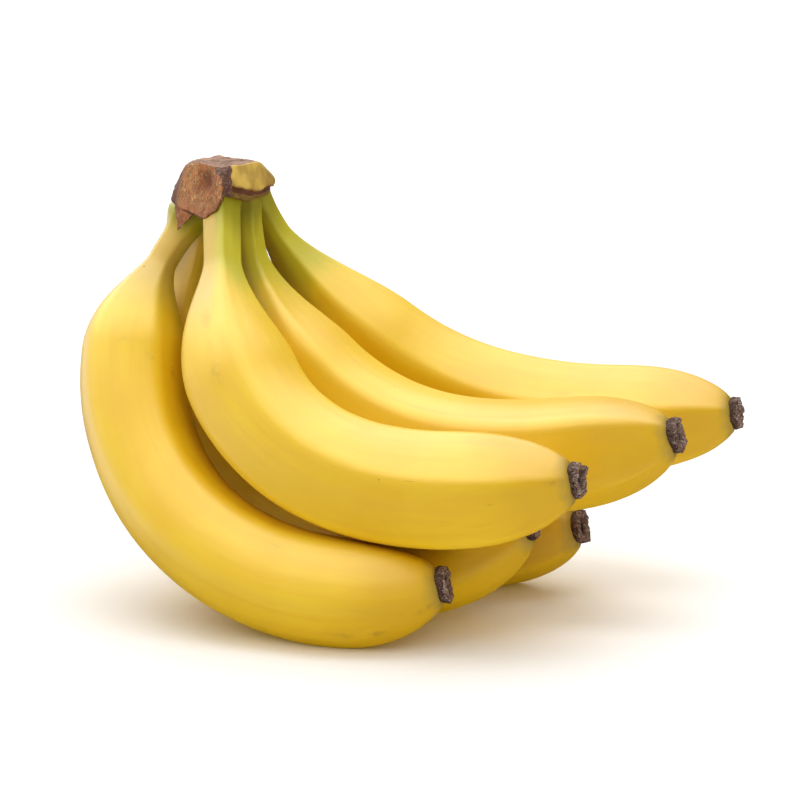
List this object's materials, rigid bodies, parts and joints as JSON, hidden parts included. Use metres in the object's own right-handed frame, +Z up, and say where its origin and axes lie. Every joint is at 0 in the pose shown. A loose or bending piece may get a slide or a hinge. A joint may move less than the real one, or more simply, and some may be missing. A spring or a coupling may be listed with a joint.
{
  "type": "bunch of bananas",
  "caption": "Bunch of ripe bananas on a woody crown, lying on its lower row of fingers with the tips swept to one side.",
  "frame": {"origin": "on the floor, under the middle of the bunch's bounding box", "axes": "+X from the crown towards the tips, +Y away from the side that the picture shows, +Z up"},
  "size_m": [0.2178, 0.1332, 0.1425],
  "materials": {
    "peel": "satin, waxy yellow peel, greener at the neck",
    "crown": "dry, fibrous brown cut wood with olive skin",
    "blossom_end": "dry, crumpled dark brown flower remnant"
  },
  "bodies": {
    "root": {"crown": "crown", "finger_outer_front": "peel", "finger_outer_middle": "peel", "finger_outer_back": "peel", "finger_inner_front": "peel", "finger_inner_middle": "peel", "finger_inner_back": "peel", "blossom_end_outer_front": "blossom_end", "blossom_end_outer_middle": "blossom_end", "blossom_end_outer_back": "blossom_end", "blossom_end_inner_front": "blossom_end", "blossom_end_inner_middle": "blossom_end", "blossom_end_inner_back": "blossom_end"}
  },
  "joints": []
}
